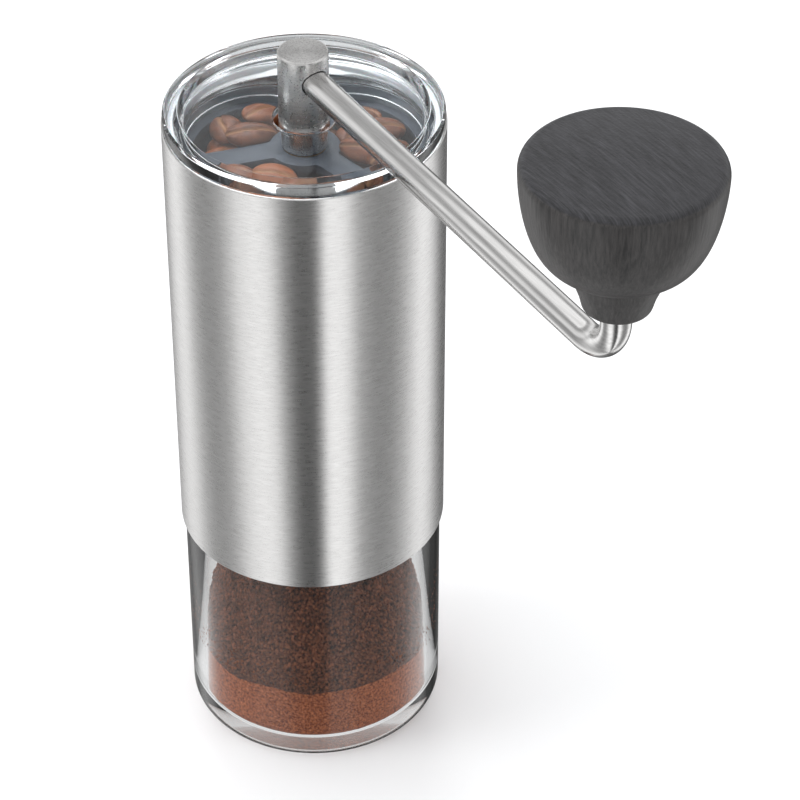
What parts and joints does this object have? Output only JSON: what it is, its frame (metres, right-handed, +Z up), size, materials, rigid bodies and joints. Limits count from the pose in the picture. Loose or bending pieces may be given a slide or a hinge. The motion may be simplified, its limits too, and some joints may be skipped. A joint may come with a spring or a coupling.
{
  "type": "hand crank coffee grinder",
  "caption": "Hand crank coffee grinder: steel sleeve with hopper and conical burrs over a glass jar, clear lid, bent crank with a turning wooden knob.",
  "frame": {"origin": "centre of the jar's flat base, on the grinder's axis", "axes": "+Z up along the grinder's axis; +X from the axis towards the crank's knob at rest"},
  "size_m": [0.1458, 0.056, 0.1935],
  "materials": {
    "sleeve_steel": "satin, brushed round the tube",
    "crank_steel": "satin turned and polished",
    "shaft_steel": "machined",
    "fastener_steel": "plain",
    "spring_steel": "oiled",
    "bearing_bronze": "sintered bearing bronze",
    "clear_acrylic": "clear, polished",
    "jar_glass": "clear, smooth",
    "silicone": "translucent, soft",
    "dark_plastic": "fine moulded texture",
    "grey_plastic": "fine moulded texture",
    "nut_plastic": "knurled grip",
    "ceramic": "fired, unglazed",
    "black_wood": "black stain, satin, open grain"
  },
  "bodies": {
    "housing": {"body_sleeve": "sleeve_steel", "hopper_liner": "grey_plastic", "bearing_bridge": "dark_plastic", "upper_bush": "bearing_bronze", "lower_bridge": "dark_plastic", "lower_bush": "bearing_bronze", "burr_carrier": "dark_plastic", "outer_burr": "ceramic", "burr_clamp_ring": "fastener_steel", "clamp_screw_1": "fastener_steel", "clamp_screw_2": "fastener_steel", "clamp_screw_3": "fastener_steel", "jar_collar": "dark_plastic", "lower_jar_seal": "silicone", "upper_jar_seal": "silicone"},
    "lid_body": {"lid": "clear_acrylic", "lid_seal": "silicone"},
    "shaft": {"drive_shaft": "shaft_steel", "shaft_circlip": "fastener_steel", "thrust_washer": "fastener_steel", "burr_spring": "spring_steel"},
    "crank": {"crank_hub": "crank_steel", "crank_arm": "crank_steel", "knob_clip": "fastener_steel"},
    "knob_body": {"knob": "black_wood", "knob_bush": "bearing_bronze"},
    "burr": {"inner_burr": "ceramic", "burr_driver": "grey_plastic", "detent_plate": "fastener_steel"},
    "adjuster": {"adjuster_nut": "nut_plastic"},
    "jar": {"glass_jar": "jar_glass"}
  },
  "joints": [
    {"name": "crank_turn", "type": "hinge", "parent": "housing", "child": "shaft", "pos_m": [0, 0, 0.1], "axis": [0, 0, 1], "continuous": true},
    {"name": "crank_lift", "type": "slide", "parent": "shaft", "child": "crank", "axis": [0, 0, 1], "range_m": [0, 0.06]},
    {"name": "lid_lift", "type": "slide", "parent": "housing", "child": "lid_body", "axis": [0, 0, 1], "range_m": [0, 0.03]},
    {"name": "knob_spin", "type": "hinge", "parent": "crank", "child": "knob_body", "pos_m": [0.1, 0, 0.17], "axis": [0, 0, 1], "continuous": true},
    {"name": "burr_travel", "type": "slide", "parent": "shaft", "child": "burr", "axis": [0, 0, 1], "range_m": [-0.0015, 0], "deforming": ["burr_spring"]},
    {"name": "adjuster_turn", "type": "hinge", "parent": "burr", "child": "adjuster", "pos_m": [0, 0, 0.058], "axis": [0, 0, 1], "range_deg": [-540, 0]},
    {"name": "jar_pull", "type": "slide", "parent": "jar", "child": "housing", "axis": [0, 0, 1], "range_m": [0, 0.045]}
  ],
  "couplings": [
    {"joint": "lid_lift", "follows": "crank_lift", "ratio": 0.5},
    {"joint": "burr_travel", "follows": "adjuster_turn", "m_per_rad": 0.00015915}
  ]
}
